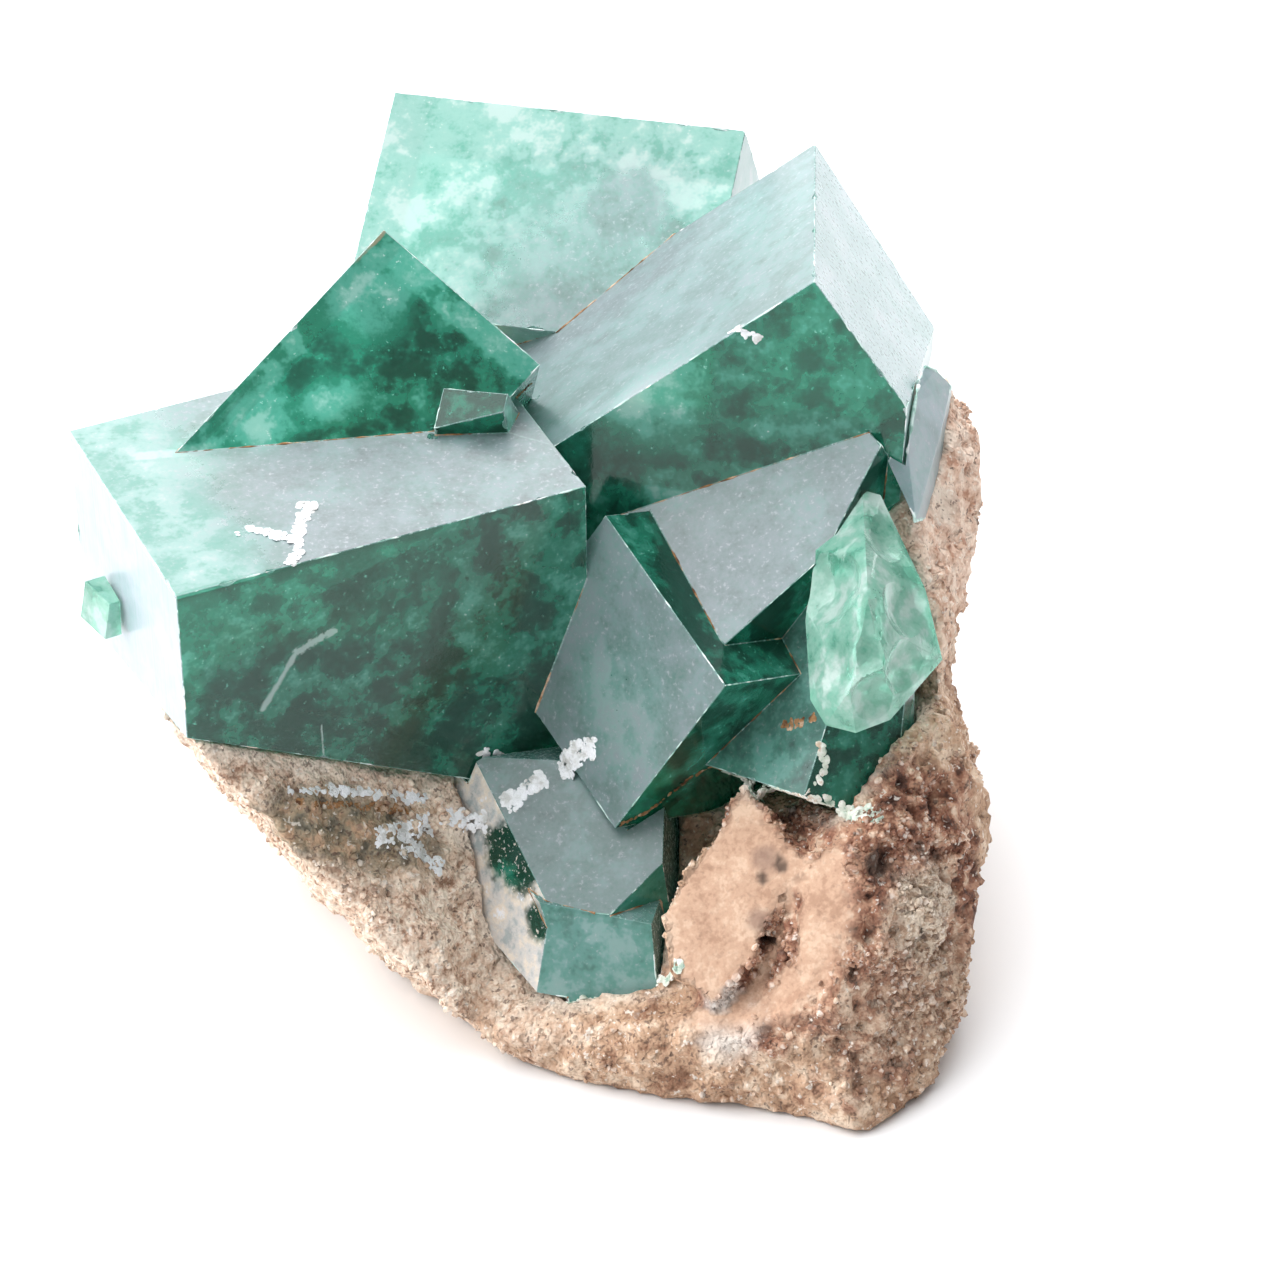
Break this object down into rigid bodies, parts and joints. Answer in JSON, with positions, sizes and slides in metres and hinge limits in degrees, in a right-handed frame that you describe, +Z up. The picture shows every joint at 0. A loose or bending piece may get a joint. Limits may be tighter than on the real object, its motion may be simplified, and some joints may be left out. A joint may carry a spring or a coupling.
{
  "type": "fluorite specimen",
  "caption": "Cluster of large intergrown green fluorite cubes on rough tan rock, with smaller broken crystals around its foot.",
  "frame": {"origin": "centre of the bounding box in plan, at the flat underside", "axes": "+Z up from the flat underside, -Y towards the large front-left crystal's front face, +X to the right as the front is seen"},
  "size_m": [0.0946, 0.1142, 0.074],
  "materials": {
    "matrix_rock": "rough and porous",
    "green_fluorite": "smooth, translucent, cloudy inside",
    "bottom_fluorite": "smooth, partly crusted",
    "pale_fluorite": "glossy broken surface",
    "edge_fluorite": "striated, partly frosted",
    "small_fluorite": "smooth, pale"
  },
  "bodies": {
    "root": {"Matrix_Rock": "matrix_rock", "Fluorite_Cluster": "green_fluorite", "Bottom_Crystals": "bottom_fluorite", "Pale_Broken_Crystal": "pale_fluorite", "Right_Edge_Crystal": "edge_fluorite", "Small_Left_Crystal": "small_fluorite"}
  },
  "joints": []
}
